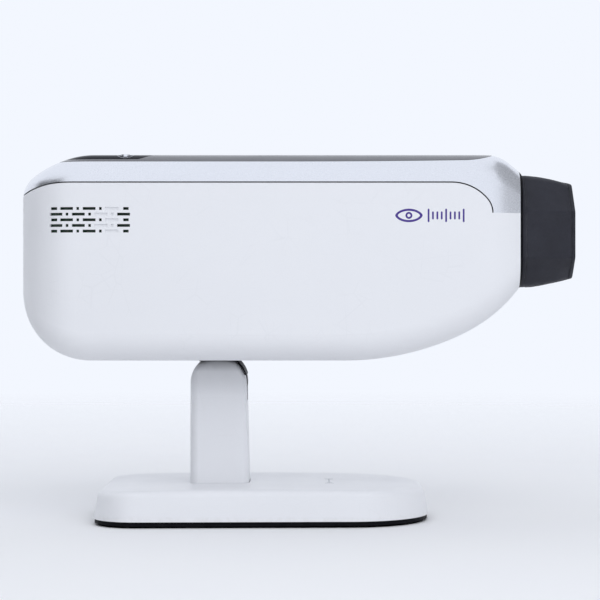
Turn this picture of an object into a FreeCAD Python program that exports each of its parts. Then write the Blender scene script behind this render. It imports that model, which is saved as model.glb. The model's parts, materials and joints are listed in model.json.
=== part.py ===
import FreeCAD, Part
import math
import os
import re

# Desktop autorefractor: a long optical head that tilts on a short column over a weighted base.
# +X points to the person being measured, +Y to that person's right, +Z up.
# The origin is the centre of the base's underside. Millimetres.

V = FreeCAD.Vector
Box = Part.makeBox
Cylinder = Part.makeCylinder
doc = FreeCAD.newDocument("Autorefractor")
dims = doc.addObject("Spreadsheet::Sheet", "dims")
D = {}
NODES = []

DRIVING = [
    # base
    ("base_rear_x", -160), ("base_front_x", 166), ("base_rear_half", 105), ("base_front_half", 96),
    ("base_rear_corner", 42), ("base_front_corner", 80), ("base_draft", 5), ("base_skin", 2.6),
    ("pad_top", 2), ("tray_top", 6), ("cover_top", 33.4), ("base_crown", 2.6), ("cover_round", 8),
    # column and tilt hinge
    ("tilt_x", -41), ("tilt_z", 134.5), ("column_half_depth", 28), ("column_rear_x", -69),
    ("column_front_x", -10.5), ("column_skin", 3), ("column_crown", 27.7),
    ("slot_half", 15.4), ("knuckle_half", 14), ("pin_r", 5), ("ear_r", 14),
    # head form
    ("head_bottom", 158.3), ("head_top", 355.4), ("head_half", 103), ("head_round", 26), ("head_skin", 3),
    ("head_front", 249.5), ("plate_thick", 2.5), ("panel_z", 348.2), ("screen_z", 350.5), ("seam_z", 328),
    ("seam_gap", 0.6), ("button_x", -127.4), ("button_y", -82.5), ("button_z", 348.8), ("button_r", 4.7),
    # hood and optics
    ("eye_z", 282), ("eye_y", 32), ("hood_end", 303.5), ("seal_depth", 4), ("hood_skin", 3.5),
    ("tube_r", 20), ("tube_bore", 17.5), ("rail_r", 3), ("screw_r", 3), ("rail_gap", 0.05),
    ("lens_bend", 44.2), ("lens_half", 4.8),
    ("chassis_z", 190), ("chassis_thick", 5), ("pd_z", 240), ("pd_x", 205), ("focus_z", 215),
    # side openings
    ("vent_x", -197.7), ("vent_z", 281.6), ("vent_pitch", 5.35), ("vent_height", 2.7),
    ("dash_step", 21.4), ("dash", 12.2), ("dot", 2.5),
]


# ---------------------------------------------------------------- document helpers

def fill_sheet():
    for i, (alias, value) in enumerate(DRIVING, start=1):
        dims.set(f"A{i}", alias)
        dims.set(f"B{i}", str(value))
        dims.setAlias(f"B{i}", alias)
        D[alias] = float(value)
    doc.recompute()


def bind(obj, prop, value):
    """Bind a property to an expression of sheet aliases, such as 'head_front - 3'."""
    text = re.sub(r"[a-z][a-z_]+[a-z]", lambda m: "dims." + m[0] if m[0] in D else m[0], str(value))
    obj.setExpression(prop, text)


def put(obj, corner):
    for axis, value in zip("xyz", corner):
        bind(obj, f"Placement.Base.{axis}", value)
    return obj


def box(name, size, corner):
    o = doc.addObject("Part::Box", name)
    for prop, value in zip(("Length", "Width", "Height"), size):
        bind(o, prop, value)
    return put(o, corner)


FACING_X = FreeCAD.Rotation(V(0, 1, 0), V(0, 0, 1), V(1, 0, 0), "XYZ")     # plan outlines turned to face +X
TURNS = {"x": FreeCAD.Rotation(V(0, 1, 0), 90), "y": FreeCAD.Rotation(V(1, 0, 0), -90),
         "z": FreeCAD.Rotation()}


def rod(name, radius, length, start, along="z"):
    """Cylinder from start, running along +X, +Y or +Z."""
    o = doc.addObject("Part::Cylinder", name)
    bind(o, "Radius", radius)
    bind(o, "Height", length)
    o.Placement = FreeCAD.Placement(V(), TURNS[along])
    return put(o, start)


def ball(name, radius, centre):
    o = doc.addObject("Part::Sphere", name)
    bind(o, "Radius", radius)
    return put(o, centre)


def fuse(name, *parts):
    o = doc.addObject("Part::MultiFuse", name)
    o.Shapes = list(parts)
    return o


def cut(name, base, *tools):
    o = doc.addObject("Part::Cut", name)
    o.Base = base
    o.Tool = tools[0] if len(tools) == 1 else fuse(name + "_tools", *tools)
    return o


def common(name, a, b):
    o = doc.addObject("Part::Common", name)
    o.Base, o.Tool = a, b
    return o


def solid(name, shape):
    """Free-form geometry, worked out from the sheet with Part's own functions."""
    o = doc.addObject("Part::Feature", name)
    o.Shape = shape
    return o


def node(obj, label):
    obj.Label = label
    NODES.append(obj)
    return obj


def body_with(name, role, offset, geometry):
    """A body with one sketch on an origin plane; the plane XZ faces -Y, XY faces +Z, YZ faces +X."""
    body = doc.addObject("PartDesign::Body", name)
    sketch = body.newObject("Sketcher::SketchObject", name + "_sketch")
    plane = [f for f in body.Origin.OriginFeatures if f.Role == role][0]
    sketch.AttachmentSupport = [(plane, "")]
    sketch.MapMode = "FlatFace"
    bind(sketch, "AttachmentOffset.Base.z", offset)
    for g in geometry:
        sketch.addGeometry(g, False)
    return body, sketch


def pad(name, role, offset, geometry, length):
    body, sketch = body_with(name, role, offset, geometry)
    p = body.newObject("PartDesign::Pad", name + "_pad")
    p.Profile = sketch
    bind(p, "Length", length)
    return body


# ---------------------------------------------------------------- outlines

def lines(*points):
    """Closed polygon as sketch geometry."""
    p = [V(x, y, 0) for x, y in points]
    return [Part.LineSegment(a, b) for a, b in zip(p, p[1:] + p[:1])]


def rounded(points, radii):
    """Closed polygon with its corners rounded, as sketch geometry in the XY plane."""
    n, starts, ends, mids = len(points), [], [], []
    for i in range(n):
        p, a, b = (V(*points[j % n], 0) for j in (i, i - 1, i + 1))
        u, w = (a - p).normalize(), (b - p).normalize()
        half = u.getAngle(w) / 2
        reach = radii[i] / math.tan(half)
        centre = p + (u + w).normalize() * (radii[i] / math.sin(half))
        starts.append(p + u * reach)
        ends.append(p + w * reach)
        mids.append(centre + (p - centre).normalize() * radii[i])
    edges = []
    for i in range(n):
        edges.append(Part.Arc(starts[i], mids[i], ends[i]))
        if (starts[(i + 1) % n] - ends[i]).Length > 1e-6:
            edges.append(Part.LineSegment(ends[i], starts[(i + 1) % n]))
    return edges


def rounded_box(x0, x1, y0, y1, r):
    return rounded([(x0, y0), (x1, y0), (x1, y1), (x0, y1)], [r] * 4)


def base_outline(inset):
    """The base in plan: wider at the operator's end, rounder at the other."""
    x0, x1 = D["base_rear_x"] + inset, D["base_front_x"] - inset
    rear, front = D["base_rear_half"] - inset, D["base_front_half"] - inset
    return rounded([(x0, -rear), (x1, -front), (x1, front), (x0, rear)],
                   [D["base_rear_corner"] - inset, D["base_front_corner"] - inset,
                    D["base_front_corner"] - inset, D["base_rear_corner"] - inset])


def wire_at(geometry, z=0.0, turn=None):
    w = Part.Wire([g.toShape() for g in geometry])
    if turn:
        w.Placement = turn
    w.translate(V(0, 0, z))
    return w


def path(start, heading, steps):
    """Tangent lines and left-turning arcs in the XZ plane: ('line', length) or ('arc', radius, degrees)."""
    at, edges = V(start[0], 0, start[1]), []
    for kind, size, *turn in steps:
        if kind == "line":
            to = at + V(math.cos(math.radians(heading)), 0, math.sin(math.radians(heading))) * size
            edges.append(Part.makeLine(at, to))
        else:
            def on_arc(share):
                a = math.radians(heading + share * turn[0])
                return centre + V(math.sin(a), 0, -math.cos(a)) * size
            a0 = math.radians(heading)
            centre = at + V(-math.sin(a0), 0, math.cos(a0)) * size
            to = on_arc(1)
            edges.append(Part.Arc(at, on_arc(0.5), to).toShape())
            heading += turn[0]
        at = to
    return edges, at


def polygon_edges(points):
    return [Part.makeLine(a, b) for a, b in zip(points, points[1:] + points[:1])]


def extrude_y(edges, half):
    face = Part.Face(Part.Wire(edges))
    face.translate(V(0, -half, 0))
    return face.extrude(V(0, 2 * half, 0))


# ---------------------------------------------------------------- the head's outer form

WIDE = 150                   # half width of anything that only has to reach past the head
BOTTOM_START = 83            # where the flat underside starts to sweep up to the front
SWEEP = ((262, 25), (152, 35), (88.8, 30))      # radius and turn of each arc of that sweep
CROWN = ((123, 9), (32.4, 34))                  # the same for the upper arcs of the front end
REAR_ARC = 67.3              # radius of the lower rear corner
TOP_REAR = -157.5            # where the flat top starts to slope to the rear
SLOPE = ((80, 18), (180, 11), (28, 61))         # radius and turn of each arc of the rear slope
PLAN_REAR, PLAN_REAR_CORNER = -232, 58
PLAN_FRONT_START, PLAN_FRONT_ARC = 205, 90
FRONT_SHARE = 0.9            # how much of the front arc's radius the plan reaches forward
SEAM_REAR_X, SEAM_REAR_R, SEAM_REAR_TURN = -181, 103, 40
SEAM_FRONT_X, SEAM_FRONT = 183, ((45, 50), (20, 40))


def head_side(i):
    """The head's outline from the side, moved in by i."""
    low, high = D["head_bottom"] + i, D["head_top"] - i
    sweep, nose = path((BOTTOM_START, low), 0, [("arc", r - i, turn) for r, turn in SWEEP])
    crown = [("arc", r - i, turn) for r, turn in CROWN]
    brow_turn = 90 - sum(turn for r, turn in CROWN)
    brow = math.radians(brow_turn)
    above = path((0, 0), 90 + brow_turn, crown)[1]
    brow_r = (high - nose.z - above.z) / math.sin(brow)
    flat_start = nose.x - brow_r * (1 - math.cos(brow)) + above.x
    slope = [("arc", r - i, turn) for r, turn in SLOPE]
    top, rear = path((nose.x, nose.z), 90,
                     [("arc", brow_r, brow_turn), *crown, ("line", flat_start - TOP_REAR), *slope])
    r = REAR_ARC - i
    corner = V(rear.x, 0, D["head_bottom"] + REAR_ARC)
    floor = V(rear.x + r, 0, low)
    bulge = V(rear.x + r * (1 - math.sqrt(0.5)), 0, corner.z - r * math.sqrt(0.5))
    return sweep + top + [Part.makeLine(rear, corner), Part.Arc(corner, bulge, floor).toShape(),
                          Part.makeLine(floor, V(BOTTOM_START, 0, low))]


def head_plan(i):
    """The head's outline from above, moved in by i, as a tall block."""
    w, r, front_r = D["head_half"] - i, PLAN_REAR_CORNER - i, PLAN_FRONT_ARC - i
    x0 = PLAN_REAR + i
    reach = math.asin(FRONT_SHARE)

    def on_front(angle, sign):
        fall = front_r * (1 - math.cos(angle))
        return V(PLAN_FRONT_START + front_r * math.sin(angle), sign * (w - fall), 0)

    def half(sign):
        nose = Part.Arc(on_front(0, sign), on_front(reach / 2, sign), on_front(reach, sign))
        k = r * (1 - math.sqrt(0.5))
        tail = Part.Arc(V(x0 + r, sign * w, 0), V(x0 + k, sign * (w - k), 0), V(x0, sign * (w - r), 0))
        flank = Part.makeLine(on_front(0, sign), V(x0 + r, sign * w, 0))
        return [nose.toShape(), flank, tail.toShape()]

    ends = [Part.makeLine(on_front(reach, -1), on_front(reach, 1)),
            Part.makeLine(V(x0, -(w - r), 0), V(x0, w - r, 0))]
    outline = Part.Wire(Part.__sortEdges__(half(-1) + half(1) + ends))
    return Part.Face(outline).extrude(V(0, 0, 500))


def head_form(i):
    """Side outline and plan outline together, with every edge between them rounded."""
    block = extrude_y(head_side(i), D["head_half"] + 20).common(head_plan(i))
    w = D["head_half"] - i
    picked = []
    for e in block.Edges:
        m = e.valueAt((e.FirstParameter + e.LastParameter) / 2)
        d = e.Vertexes[-1].Point - e.Vertexes[0].Point
        across = abs(d.x) < 1e-3 and abs(d.z) < 1e-3
        upright = abs(d.x) < 1e-3 and abs(d.y) < 1e-3
        tangent = abs(abs(m.y) - w) < 1e-3 and upright
        if abs(m.y) > 1e-3 and not across and not tangent:
            picked.append(e)
    return block.makeFillet(D["head_round"] - i, picked)


def below_seam(g):
    """Everything under the line where the white shells meet the silver frame, moved up by g."""
    z, rear_r, turn = D["seam_z"] + g, SEAM_REAR_R + g, math.radians(SEAM_REAR_TURN)
    start = V(SEAM_REAR_X - rear_r * math.sin(turn), 0, z - rear_r * (1 - math.cos(turn)))
    over, last = path((start.x, start.z), SEAM_REAR_TURN,
                      [("arc", -rear_r, -SEAM_REAR_TURN), ("line", SEAM_FRONT_X - SEAM_REAR_X)]
                      + [("arc", -(r + g), -angle) for r, angle in SEAM_FRONT])
    far, low = 320, 100
    corners = [last, V(far, 0, last.z), V(far, 0, low), V(-far, 0, low), V(-far, 0, start.z), start]
    sides = [Part.makeLine(a, b) for a, b in zip(corners, corners[1:])]
    return extrude_y(over + sides, WIDE)


def slab(x0, x1, z0, z1, half=WIDE):
    return Box(x1 - x0, 2 * half, z1 - z0, V(x0, -half, z0))


# ---------------------------------------------------------------- base

BASE_SCREWS = [(-138, -58), (-138, 58), (138, -46), (138, 46)]
POST_SCREWS = [(-78, -26), (-78, 26), (-5, -26), (-5, 26)]
SCREW_R, SCREW_CLEAR, SINK_R = 2, 2.1, 3.8
INLET_Y, SWITCH_Y, SOCKET_Z, SOCKET_HALF = 22, -22, 17, 9.8
INLET_HALF, SWITCH_HALF = 14, 8
SOCKET_X = -155.6
SOCKET_FIT = 0.2
ROCKER_X = SOCKET_X + 5.9
ROCKER_REST = 7              # degrees by which the rocker leans at rest
COLUMN_CORNER, COLUMN_ROUND, SLEEVE_FIT = 9, 6, 0.25
FORK_WALL = 5


def base_block(inset, low, top):
    """The base's drafted block under a gently crowned top, with its upper edge rounded."""
    span, rise = D["base_front_x"], D["base_crown"]
    height = top + rise + 4
    slope = D["base_draft"] / (D["cover_top"] - D["tray_top"])
    draft = slope * (height - low)
    foot, head = wire_at(base_outline(inset), low), wire_at(base_outline(inset + draft), height)
    sides = Part.makeLoft([foot, head], True)
    crown = Part.Arc(V(-span, 0, top), V(0, 0, top + rise), V(span, 0, top)).toShape()
    corners = [V(span, 0, top), V(span, 0, 0), V(-span, 0, 0), V(-span, 0, top)]
    under = [crown] + [Part.makeLine(a, b) for a, b in zip(corners, corners[1:])]
    block = sides.common(extrude_y(under, WIDE))
    rim = [e for e in block.Edges if e.BoundBox.ZMin > top - 1 and e.BoundBox.DiagonalLength < 2 * span + 1]
    return block.makeFillet(D["cover_round"] - inset, rim)


def column_outline(grow):
    """Column section in plan, grown by grow."""
    x0, x1 = D["column_rear_x"] - grow, D["column_front_x"] + grow
    y = D["column_half_depth"] + grow
    return rounded_box(x0, x1, -y, y, COLUMN_CORNER + grow)


def touch(foot, centre, r, side):
    """The point where a line from foot touches a circle in the XZ plane, on its +X or -X side."""
    away = foot - centre
    a = math.atan2(away.z, away.x) + side * math.acos(r / away.Length)
    return centre + V(math.cos(a), 0, math.sin(a)) * r


def column_side(i, foot_z):
    """Column outline from the side, its two faces running smoothly into the barrel top, moved in by i."""
    centre, r = V(D["tilt_x"], 0, D["tilt_z"]), D["column_crown"] - i
    rear, front = V(D["column_rear_x"] + i, 0, foot_z), V(D["column_front_x"] - i, 0, foot_z)
    left, right = touch(rear, centre, r, -1), touch(front, centre, r, 1)
    return [Part.makeLine(rear, front), Part.makeLine(front, right),
            Part.Arc(right, centre + V(0, 0, r), left).toShape(), Part.makeLine(left, rear)]


def column_block(i):
    y, foot_z = D["column_half_depth"] - i, 20
    block = extrude_y(column_side(i, foot_z), y)
    flat = [e for e in block.Edges if abs(abs(e.BoundBox.Center.y) - y) < 1e-3]
    rim = [e for e in flat if e.BoundBox.ZMax > foot_z + 1]
    return block.makeFillet(COLUMN_ROUND - i, rim)


def base_cover():
    tray_top, skin = D["tray_top"], D["base_skin"]
    outer = base_block(0, tray_top, D["cover_top"])
    inner = base_block(skin, tray_top - 1, D["cover_top"] - skin)
    cover = outer.cut(inner)
    post = Part.Face(wire_at(column_outline(SLEEVE_FIT))).extrude(V(0, 0, 60))
    tall = SOCKET_HALF + SOCKET_FIT
    sockets = [Box(20, 2 * wide, 2 * tall, V(SOCKET_X - 10, y - wide, SOCKET_Z - tall))
               for y, wide in ((INLET_Y, INLET_HALF + SOCKET_FIT), (SWITCH_Y, SWITCH_HALF + SOCKET_FIT))]
    feet = [V(x, y, tray_top) for x, y in BASE_SCREWS]
    bosses = [Cylinder(4.5, 28, foot).cut(Cylinder(SCREW_R + 0.05, 14, foot)) for foot in feet]
    return cover.cut([post] + sockets).fuse([b.common(outer) for b in bosses]).removeSplitter()


def column_shell():
    foot_z, tall, slot_depth = 26, 200, 18
    outer = column_block(0).common(slab(-100, 20, foot_z, tall))
    slot = Box(120, 2 * D["slot_half"], 90, V(-100, -D["slot_half"], D["tilt_z"] - slot_depth))
    hollow = column_block(D["column_skin"])
    plan = Part.Face(wire_at(column_outline(0))).extrude(V(0, 0, tall))
    return outer.cut([hollow, slot]).common(plan)


def screws(name, places, head_r, head_h, shank_r, length):
    """Cap screws driven in from below, each head under its z value."""
    parts = []
    for k, (x, y, z) in enumerate(places):
        parts.append(rod(f"{name}_head_{k}", head_r, head_h, (x, y, f"{z} - {head_h}")))
        parts.append(rod(f"{name}_shank_{k}", shank_r, length, (x, y, z)))
    return fuse(name, *parts)


def holes(name, places, r, z, length):
    return fuse(name, *[rod(f"{name}_{k}", r, length, (x, y, z)) for k, (x, y) in enumerate(places)])


def make_base():
    node(pad("pad_sheet", "XY_Plane", "0", base_outline(4), "pad_top"), "anti_slip_pad")

    floor = pad("tray_floor", "XY_Plane", "pad_top", base_outline(1), "tray_top - pad_top")
    lip = cut("tray_lip", pad("lip_out", "XY_Plane", "tray_top", base_outline(5), 8),
              pad("lip_in", "XY_Plane", "tray_top", base_outline(7), 8),
              box("socket_room", (30, 56, 12), (-175, -20, "tray_top")),
              box("switch_room", (30, 20, 12), (-175, -32, "tray_top")))
    places = BASE_SCREWS + POST_SCREWS
    tray = cut("tray", fuse("tray_whole", floor, lip), holes("tray_holes", places, SCREW_CLEAR, 0, 12),
               holes("tray_sinks", places, SINK_R, 0, 4))
    node(tray, "base_tray")

    node(solid("cover", base_cover()), "base_cover")

    plate = pad("ballast", "XY_Plane", "tray_top", rounded_box(-130, 130, -72, 72, 20), 8)
    node(cut("ballast_cut", plate, box("foot_room", (92, 70, 20), (-88, -35, 0))), "ballast_plate")

    foot = pad("post_foot", "XY_Plane", "tray_top", rounded_box(-85, 2, -33, 33, 8), 8)
    across, side = f"2 * slot_half + {2 * FORK_WALL}", f"-slot_half - {FORK_WALL}"
    stem = box("post_stem", (33, across, 92), (-58, side, 14))
    ears = box("post_ears", ("2 * ear_r", across, "tilt_z - 100"), ("tilt_x - ear_r", side, 100))
    round_top = rod("ear_top", "ear_r", across, ("tilt_x", side, "tilt_z"), "y")
    slot = box("fork_slot", (60, "2 * slot_half", 60), (-75, "-slot_half", "tilt_z - 30"))
    duct = box("cable_duct", (18, 20, 120), (-51, -10, 10))
    bore = rod("ear_bore", "pin_r + 0.05", 60, ("tilt_x", -30, "tilt_z"), "y")
    post = cut("post", fuse("post_whole", foot, stem, ears, round_top), slot, duct, bore,
               holes("foot_holes", POST_SCREWS, SCREW_CLEAR, 0, 30))
    node(post, "column_post")
    node(solid("sleeve", column_shell()), "column_shell")

    node(screws("tray_screws", [(x, y, 4) for x, y in places], 3.6, 1.8, SCREW_R, 12), "base_screws")
    make_hinge_pin(side)


def make_hinge_pin(side):
    """The pin through the fork, its head on one side and its nut on the other, with two friction washers."""
    head, nut_r = 3.4, 8.6
    pin = fuse("pin", rod("pin_shaft", "pin_r", "2 * slot_half + 14", ("tilt_x", side, "tilt_z"), "y"),
               rod("pin_head", 9, head, ("tilt_x", f"{side} - {head}", "tilt_z"), "y"))
    node(pin, "hinge_pin")
    hexagon = [(nut_r * math.cos(k * math.pi / 3), nut_r * math.sin(k * math.pi / 3)) for k in range(6)]
    blank = pad("nut_blank", "XZ_Plane", "0", lines(*hexagon), head)
    put(blank, ("tilt_x", f"slot_half + {FORK_WALL} + {head}", "tilt_z"))
    node(cut("nut", blank, rod("nut_bore", "pin_r", 60, ("tilt_x", 0, "tilt_z"), "y")), "hinge_nut")
    rings = []
    for side in (-1, 1):
        start = ("tilt_x", f"{side} * 14.7 - 0.6", "tilt_z")
        rings.append(cut(f"washer_{side + 1}", rod(f"washer_out_{side + 1}", 13, 1.2, start, "y"),
                         rod(f"washer_in_{side + 1}", "pin_r + 0.1", 1.2, start, "y")))
    node(fuse("washers", *rings), "friction_washers")


CARD = 1.6                   # thickness of every circuit board


def make_power():
    z0, tall, wall = SOCKET_Z - SOCKET_HALF, 2 * SOCKET_HALF, 1.6
    room_z, room_tall = z0 + wall, tall - 2 * wall
    shell = box("inlet_shell", (24, 2 * INLET_HALF, tall), (SOCKET_X, INLET_Y - INLET_HALF, z0))
    room = box("inlet_room", (18, 24.6, room_tall), (SOCKET_X - 0.6, INLET_Y - 12.3, room_z))
    blades = [box(f"blade_{k}", (16, 2, 4), (SOCKET_X + 5.4, INLET_Y + dy - 1, SOCKET_Z + dz - 2))
              for k, (dy, dz) in enumerate(((-7, -2), (0, 2), (7, -2)))]
    node(fuse("inlet", cut("inlet_cup", shell, room), *blades), "power_inlet")

    frame = box("switch_shell", (16, 2 * SWITCH_HALF, tall), (SOCKET_X, SWITCH_Y - SWITCH_HALF, z0))
    room = box("rocker_room", (12, 12, room_tall), (SOCKET_X - 0.6, SWITCH_Y - 6, room_z))
    axle = rod("switch_axle", 1, 14, (ROCKER_X, SWITCH_Y - 7, SOCKET_Z), "y")
    node(fuse("switch_frame", cut("switch_cup", frame, room), axle), "power_switch_frame")

    c, d, half = math.cos(math.radians(ROCKER_REST)), math.sin(math.radians(ROCKER_REST)), 5.6
    outline = [(5.5, -7.2), (4.6, 0), (5.5, 7.2), (0, 5.6), (-3, 0), (0, -5.6)]
    leaning = [(ROCKER_X - x * c - z * d, SOCKET_Z - x * d + z * c) for x, z in outline]
    rocker = pad("rocker_blank", "XZ_Plane", -SWITCH_Y - half, lines(*leaning), 2 * half)
    bore = rod("rocker_bore", 1.05, 20, (ROCKER_X, SWITCH_Y - 10, SOCKET_Z), "y")
    node(cut("rocker", rocker, bore), "power_rocker")

    plate_top, card_z = 14, 20
    top = card_z + CARD
    board = pad("supply_board", "XY_Plane", card_z, rounded_box(22, 112, -42, 42, 3), CARD)
    parts = [box("transformer", (26, 30, 9), (34, -30, top)), box("choke", (16, 16, 7.5), (70, -32, top)),
             rod("capacitor", 7, 9, (84, 20, top)), rod("capacitor_small", 4.5, 8, (64, 22, top)),
             box("output_socket", (9, 20, 7), (100, -10, top))]
    parts += [rod(f"supply_leg_{x}_{'ab'[y > 0]}", 3, card_z - plate_top, (x, y, plate_top))
              for x in (28, 106) for y in (-36, 36)]
    node(fuse("supply", board, *parts), "power_supply")


# ---------------------------------------------------------------- head shells

SHELL_SCREWS = [(x, y) for x in (-150, -80, 70) for y in (-50, 50)]
FRONT_SCREWS = [(y, z) for y in (-72, 72) for z in (262, 298)]
TAP_R = 1.7
SEAT = 0.15                  # half of the gap around the top panel and the touch screen
PANEL_RISE_X = 40            # where the panel's lower edge starts to rise to its front end
PANEL_RISE = ((9000, 1), (80, 24))              # radius and turn of each arc of that rise
SCREEN_FRONT, SCREEN_SLOPE = -99.5, 14.5        # the glass's front edge at the top, and how far it leans
BUTTON_GAP = 0.3
ROOF_ANGLES = (16, 70, 100, 130)                # where the shroud's roof starts, steps and ends, in degrees
PRESSED = 1.2                # depth of the blind cooling slots
DISC_SHIFT = 0.5             # how far the knuckle's disc stands forward of and above the hinge
VENT_ROWS, ROW_SHIFT, DOT_AT = 5, 10.2, 15.5
END_DASH, HALF_DASH = (-9, 6), (-4.5, 5.2)      # place beside the row's first or last step, and length


def vents(side, depth_out, blind):
    """Cooling slots in one side wall: rows of dashes and dots, each row staggered from the next.

    The third dash of a row and its dot are blind: only pressed into the wall."""
    y = side * D["head_half"]
    step, dash, dot, high = D["dash_step"], D["dash"], D["dot"], D["vent_height"]
    cells = []
    for row in range(VENT_ROWS):
        z = D["vent_z"] + row * D["vent_pitch"] - high / 2
        long_row = row % 2 == 1
        first = D["vent_x"] + (0 if long_row else ROW_SHIFT)
        count = 4 if long_row else 3
        for k in range(count):
            cells.append((first + k * step, dash, z, k == 2))
            if k < count - 1:
                cells.append((first + k * step + DOT_AT, dot, z, k == 2))
        if not long_row:
            for at, (shift, length) in ((first, END_DASH), (first + 3 * step, HALF_DASH)):
                cells.append((at + shift, length, z, False))
    return [Box(length, 2 * depth_out, high, V(x, y - depth_out, z))
            for x, length, z, pressed in cells if pressed == blind]


def panel_zone(g):
    """Space over the top panel, whose lower edge sweeps up to the head's top at the front, moved out by g."""
    low, far, high = D["panel_z"] - g, 300, D["head_top"] + 10
    under, tip = path((-far, low), 0, [("line", far + PANEL_RISE_X)]
                      + [("arc", r + g, turn) for r, turn in PANEL_RISE])
    corners = [tip, V(tip.x, 0, high), V(-far, 0, high), V(-far, 0, low)]
    sides = [Part.makeLine(a, b) for a, b in zip(corners, corners[1:])]
    return extrude_y(under + sides, WIDE)


def screen_zone(g):
    """Space over the touch screen: everything behind a slanted face, moved out by g."""
    low, far, over = D["screen_z"] - g, 300, 10
    run = SCREEN_SLOPE / (D["head_top"] - D["screen_z"])
    foot = V(SCREEN_FRONT - SCREEN_SLOPE + g - g * run, 0, low)
    pts = [V(-far, 0, low), foot, V(SCREEN_FRONT + g + over * run, 0, D["head_top"] + over),
           V(-far, 0, D["head_top"] + over)]
    return extrude_y(polygon_edges(pts), WIDE)


def shroud_skin(grow):
    """The dark shroud's outer form: a barrel set a little forward of and above the hinge."""
    half = D["column_half_depth"] + 1.8 + grow
    centre = V(D["tilt_x"] + 0.35, -half, D["tilt_z"] + 0.9)
    return Cylinder(D["column_crown"] + 0.7 + grow, 2 * half, centre, V(0, 1, 0))


def tilt_shroud():
    """Thin cover over the column's cheeks, fixed to the head: a curved roof and two side lips."""
    cx, cz, half = D["tilt_x"], D["tilt_z"], D["column_half_depth"] + 0.3
    hollow = Cylinder(D["column_crown"] + 0.3, 2 * half, V(cx, -half, cz), V(0, 1, 0))
    far = 80
    pts = [V(cx, 0, cz)]
    pts += [V(cx + far * math.cos(a), 0, cz + far * math.sin(a)) for a in map(math.radians, ROOF_ANGLES)]
    fan = extrude_y(polygon_edges(pts), half)
    skin, lip_low = shroud_skin(0), D["head_bottom"] - 2
    lips = skin.common(slab(-200, 100, lip_low, 200)).cut(slab(-200, 100, 0, 200, half))
    low, flange_half, flange_depth = D["head_bottom"] + D["head_skin"] + 0.2, 34, 38
    flange = slab(cx - flange_half, cx + flange_half, low, low + 1.8, flange_depth)
    neck = slab(cx - 12, cx + 12, 100, 200, D["knuckle_half"])
    disc = Cylinder(D["column_crown"] + 0.3, 2 * D["knuckle_half"] + 0.2,
                    V(cx + DISC_SHIFT, -D["knuckle_half"] - 0.1, cz + DISC_SHIFT), V(0, 1, 0))
    return skin.common(fan).fuse([lips, flange]).cut([hollow, neck, disc]).removeSplitter()


def make_shells():
    skin, gap = D["head_skin"], D["seam_gap"]
    outer, inner = head_form(0), head_form(skin)
    shell = outer.cut(inner)
    white = shell.common(below_seam(-gap)).common(slab(-300, D["head_front"], 0, 400))
    node(solid("shroud", tilt_shroud()), "tilt_shroud")
    barrel = shroud_skin(0.3)
    drilled = [Cylinder(TAP_R + 0.2, 12, V(x, y, D["head_bottom"] - 3.3)) for x, y in SHELL_SCREWS]
    sunk = [Cylinder(SINK_R + 0.1, 6, V(x, y, D["head_bottom"] - 4.3)) for x, y in SHELL_SCREWS]
    white = white.cut([barrel] + drilled + sunk)
    for side, name in ((-1, "right"), (1, "left")):
        room = Box(700, WIDE, 400, V(-350, 0.1 if side > 0 else -WIDE - 0.1, 0))
        half = white.common(room).cut(vents(side, 8, False)).cut(vents(side, PRESSED, True))
        node(solid(f"{name}_shell", half), f"{name}_side_shell")

    frame = shell.cut([below_seam(gap), panel_zone(SEAT)]).common(slab(-300, D["head_front"], 0, 400))
    node(solid("frame", frame), "top_frame")

    roof = shell.common(panel_zone(-SEAT))
    button_hole = Cylinder(D["button_r"] + BUTTON_GAP, 30, V(D["button_x"], D["button_y"], 340))
    node(solid("screen", roof.common(screen_zone(0)).cut(button_hole)), "touch_screen")
    node(solid("panel", roof.cut([screen_zone(SEAT), button_hole])), "top_panel")

    plate = outer.common(slab(D["head_front"] + 0.1, D["head_front"] + D["plate_thick"], 0, 400))
    back, half_tall, travel = D["head_front"] - 5, 21.5, 7.5
    reach = half_tall + travel
    windows = []
    for side in (-1, 1):
        w = Part.Face(wire_at(rounded_box(-reach, reach, -half_tall, half_tall, half_tall - 0.1)))
        w.Placement = FreeCAD.Placement(V(back, side * D["eye_y"], D["eye_z"]), FACING_X)
        windows.append(w.extrude(V(20, 0, 0)))
    shanks = [Cylinder(SCREW_CLEAR, 20, V(back, y, z), V(1, 0, 0)) for y, z in FRONT_SCREWS]
    node(solid("front", plate.cut(windows + shanks)), "front_plate")


# ---------------------------------------------------------------- hood

FACE_X, FACE_R = 363.5, 78
NOSE_X = 270
HOOD_STATIONS = ((0, 86, 228.6, 337.4), (0.5, 84.2, 231.6, 334.8), (1, 79.5, 238.4, 328))
CHEEK_LOW, CHEEK_HIGH = 256.8, 301
LOWER_SHOULDER, UPPER_SHOULDER = 22, 26


def hood_section(x, half, low, high, grow):
    """One section of the hood: upright cheeks, slanted shoulders above and below."""
    half, low, high = half + grow, low - grow, high + grow
    flat_low, flat_high = CHEEK_LOW - 0.4 * grow, CHEEK_HIGH + 0.4 * grow
    right = [(half - LOWER_SHOULDER, low), (half, flat_low), (half, flat_high), (half - UPPER_SHOULDER, high)]
    pts = right + [(-y, z) for y, z in reversed(right)]
    radii = [12, 4, 4, 12] * 2
    return wire_at(rounded(pts, radii), 0, FreeCAD.Placement(V(x, 0, 0), FACING_X))


def hood_block(grow):
    """The hood's tapered block: its sides bow outward from the front plate to the rim."""
    x0, x1 = D["head_front"] + D["plate_thick"] + 0.1, D["hood_end"]
    return Part.makeLoft([hood_section(x0 + share * (x1 - x0), half, low, high, grow)
                          for share, half, low, high in HOOD_STATIONS], True)


def face_room(grow):
    """The room for the face: an upright barrel that the rim is scooped by."""
    return Cylinder(FACE_R + grow, 300, V(FACE_X, 0, 150))


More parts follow.
